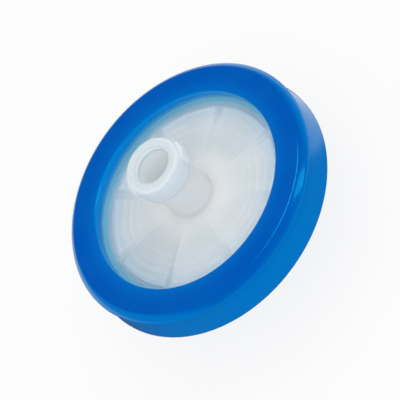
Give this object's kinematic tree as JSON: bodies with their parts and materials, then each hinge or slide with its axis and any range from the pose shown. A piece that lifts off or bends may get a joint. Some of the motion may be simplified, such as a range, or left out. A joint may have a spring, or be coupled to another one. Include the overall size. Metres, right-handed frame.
{
  "type": "syringe filter",
  "caption": "Disc syringe filter: clear ribbed cap with a Luer-lock hub, clamped membrane, clear base with a tapered outlet tip, and a blue moulded ring round both rims.",
  "frame": {"origin": "centre of the outlet tip's end face, the lowest point of the filter", "axes": "+Z along the common axis from the outlet tip to the inlet hub, +X at 22.5 degrees from the line through the hub's two lugs"},
  "size_m": [0.031, 0.031, 0.0194],
  "materials": {
    "blue_ring": "glossy mid-blue polypropylene",
    "clear_inlet": "milky translucent polypropylene, polished",
    "membrane_film": "matt white microporous film",
    "clear_outlet": "milky translucent polypropylene, polished"
  },
  "bodies": {
    "root": {"outer_ring": "blue_ring", "inlet_housing": "clear_inlet", "membrane": "membrane_film", "outlet_housing": "clear_outlet"}
  },
  "joints": []
}
